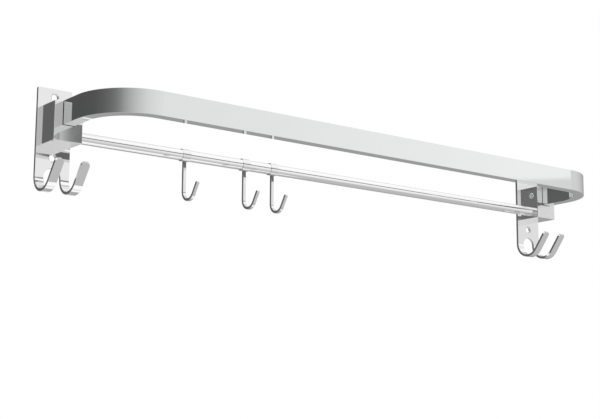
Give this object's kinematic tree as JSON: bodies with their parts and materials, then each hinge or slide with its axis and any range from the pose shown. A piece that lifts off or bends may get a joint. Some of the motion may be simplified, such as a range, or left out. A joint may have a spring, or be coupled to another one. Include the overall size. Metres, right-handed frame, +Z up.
{
  "type": "folding towel rail",
  "caption": "Wall towel rail with a flat-tube frame that folds up on slotted blocks, a round lower rail with sliding hooks, and wall plates that end in bent hooks.",
  "frame": {"origin": "middle of the four wall screw holes, on the plane of the wall", "axes": "+X along the rail to the right as seen from the room, +Y into the wall, +Z up"},
  "size_m": [0.59, 0.1032, 0.09],
  "materials": {
    "wall_plate": "polished",
    "bracket_block": "polished",
    "frame": "polished",
    "rail": "polished",
    "rail_hook": "polished",
    "screw": "satin",
    "bush": "turned",
    "plug": "moulded",
    "washer": "moulded",
    "pin": "turned"
  },
  "bodies": {
    "wall_bracket": {"lower_rail": "rail", "left_wall_plate": "wall_plate", "left_bracket_block": "bracket_block", "left_block_screws": "screw", "left_pivot_screw": "screw", "left_inner_washer": "washer", "left_outer_washer": "washer", "left_rail_pin": "pin", "right_wall_plate": "wall_plate", "right_bracket_block": "bracket_block", "right_block_screws": "screw", "right_pivot_screw": "screw", "right_inner_washer": "washer", "right_outer_washer": "washer", "right_rail_pin": "pin"},
    "towel_frame": {"folding_frame": "frame", "left_arm_plug": "plug", "left_pivot_bush": "bush", "right_arm_plug": "plug", "right_pivot_bush": "bush"},
    "left_hook": {"left_rail_hook": "rail_hook"},
    "middle_hook": {"middle_rail_hook": "rail_hook"},
    "right_hook": {"right_rail_hook": "rail_hook"}
  },
  "joints": [
    {"name": "frame_fold", "type": "hinge", "parent": "wall_bracket", "child": "towel_frame", "pos_m": [0, -0.0205, 0.00695], "axis": [-1, 0, 0], "range_deg": [0, 90]},
    {"name": "left_hook_slide", "type": "slide", "parent": "wall_bracket", "child": "left_hook", "axis": [1, 0, 0], "range_m": [-0.0948, 0.0269]},
    {"name": "middle_hook_slide", "type": "slide", "parent": "wall_bracket", "child": "middle_hook", "axis": [1, 0, 0], "range_m": [-0.027, 0.0109]},
    {"name": "right_hook_slide", "type": "slide", "parent": "wall_bracket", "child": "right_hook", "axis": [1, 0, 0], "range_m": [-0.0109, 0.3283]}
  ]
}
